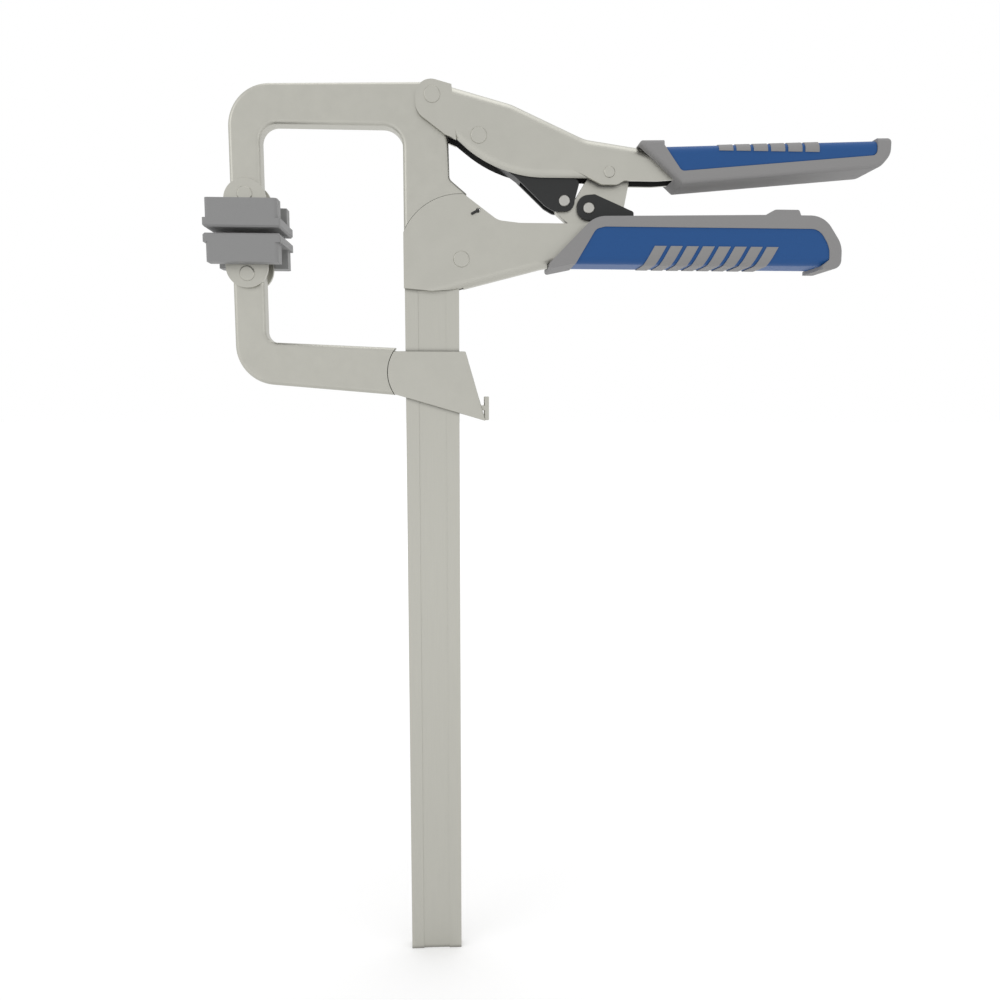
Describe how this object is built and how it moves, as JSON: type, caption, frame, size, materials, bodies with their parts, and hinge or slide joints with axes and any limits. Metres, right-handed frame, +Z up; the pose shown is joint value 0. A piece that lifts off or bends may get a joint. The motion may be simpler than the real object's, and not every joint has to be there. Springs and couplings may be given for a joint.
{
  "type": "quick release bar clamp",
  "caption": "Locking-handle bar clamp: C-shaped upper jaw on a toggle handle, lower jaw sliding on a flat bar, swivel pads.",
  "frame": {"origin": "centre of the upper pad's clamping face", "axes": "+Z up along the bar, +X from the pads towards the handles, +Y through the clamp, away from the picture's viewer"},
  "size_m": [0.3096, 0.031, 0.4191],
  "materials": {
    "bar_steel": "satin nickel plate",
    "forged_steel": "satin nickel plate",
    "sheet_steel": "satin nickel plate",
    "rivet_steel": "satin",
    "knurled_steel": "knurled",
    "spring_steel": "oiled wire",
    "black_steel": "blackened, satin",
    "pad_nylon": "moulded, matt",
    "grip_rubber": "moulded, matt",
    "grip_plastic": "moulded, satin"
  },
  "bodies": {
    "frame": {"bar": "bar_steel", "handle_frame": "sheet_steel", "jaw_pivot_pin": "rivet_steel", "jaw_return_spring": "spring_steel", "adjuster_nut": "rivet_steel", "lower_grip_rim": "grip_rubber", "lower_grip_core": "grip_plastic"},
    "adjuster": {"adjuster_screw": "rivet_steel", "adjuster_wheel": "knurled_steel"},
    "upper_jaw": {"upper_jaw_arm": "forged_steel"},
    "upper_handle": {"handle_lever": "sheet_steel", "handle_pivot_pin": "rivet_steel", "upper_grip_rim": "grip_rubber", "upper_grip_core": "grip_plastic", "strut_guide_pin": "rivet_steel", "toggle_pin": "rivet_steel"},
    "link": {"toggle_link": "sheet_steel", "strut_pin": "rivet_steel", "release_lever_pin": "rivet_steel"},
    "strut": {"release_strut": "black_steel"},
    "trigger": {"release_lever": "black_steel"},
    "slider": {"lower_jaw_arm": "forged_steel", "slide_collar": "sheet_steel", "slide_lock_spring": "spring_steel"},
    "lock": {"slide_lock_plate": "rivet_steel"},
    "upper_swivel": {"upper_pad": "pad_nylon", "upper_pad_shoe": "sheet_steel", "upper_pad_pin": "rivet_steel"},
    "lower_swivel": {"lower_pad": "pad_nylon", "lower_pad_shoe": "sheet_steel", "lower_pad_pin": "rivet_steel"}
  },
  "joints": [
    {"name": "jaw_pivot", "type": "hinge", "parent": "frame", "child": "upper_jaw", "pos_m": [0.0967, 0, -0.0115], "axis": [0, 1, 0], "range_deg": [0, 6.5], "deforming": ["jaw_return_spring"]},
    {"name": "handle_pivot", "type": "hinge", "parent": "upper_jaw", "child": "upper_handle", "pos_m": [0.0838, 0, 0.0596], "axis": [0, 1, 0], "range_deg": [-20.6, 0]},
    {"name": "toggle_pivot", "type": "hinge", "parent": "upper_handle", "child": "link", "pos_m": [0.164, 0, 0.0274], "axis": [0, 1, 0], "range_deg": [0, 35.6]},
    {"name": "strut_pivot", "type": "hinge", "parent": "link", "child": "strut", "pos_m": [0.1439, 0, 0.015], "axis": [0, 1, 0], "range_deg": [-50, 0]},
    {"name": "release_lever_pivot", "type": "hinge", "parent": "link", "child": "trigger", "pos_m": [0.1552, 0, 0.0119], "axis": [0, 1, 0], "range_deg": [-10, 0], "stiffness_Nm_per_rad": 0.02, "springref_deg": 2.86},
    {"name": "jaw_slide", "type": "slide", "parent": "frame", "child": "slider", "axis": [0, 0, 1], "range_m": [-0.262, 0.0021]},
    {"name": "slide_lock_pivot", "type": "hinge", "parent": "slider", "child": "lock", "pos_m": [0.09705, 0, -0.06575], "axis": [0, 1, 0], "range_deg": [-3.5, 0], "stiffness_Nm_per_rad": 0.05, "springref_deg": 5.73, "deforming": ["slide_lock_spring"]},
    {"name": "upper_pad_swivel", "type": "hinge", "parent": "upper_jaw", "child": "upper_swivel", "pos_m": [0, 0, 0.0158], "axis": [0, 1, 0], "range_deg": [-8, 8]},
    {"name": "lower_pad_swivel", "type": "hinge", "parent": "slider", "child": "lower_swivel", "pos_m": [0, 0, -0.0189], "axis": [0, 1, 0], "range_deg": [-8, 8]},
    {"name": "adjuster_turn", "type": "hinge", "parent": "frame", "child": "adjuster", "pos_m": [0.24, 0, 0.0022], "axis": [1, 0, 0], "continuous": true}
  ],
  "couplings": [
    {"joint": "jaw_pivot", "follows": "handle_pivot", "ratio": -0.3146},
    {"joint": "toggle_pivot", "follows": "handle_pivot", "ratio": -1.7193},
    {"joint": "strut_pivot", "follows": "handle_pivot", "ratio": 2.417}
  ]
}
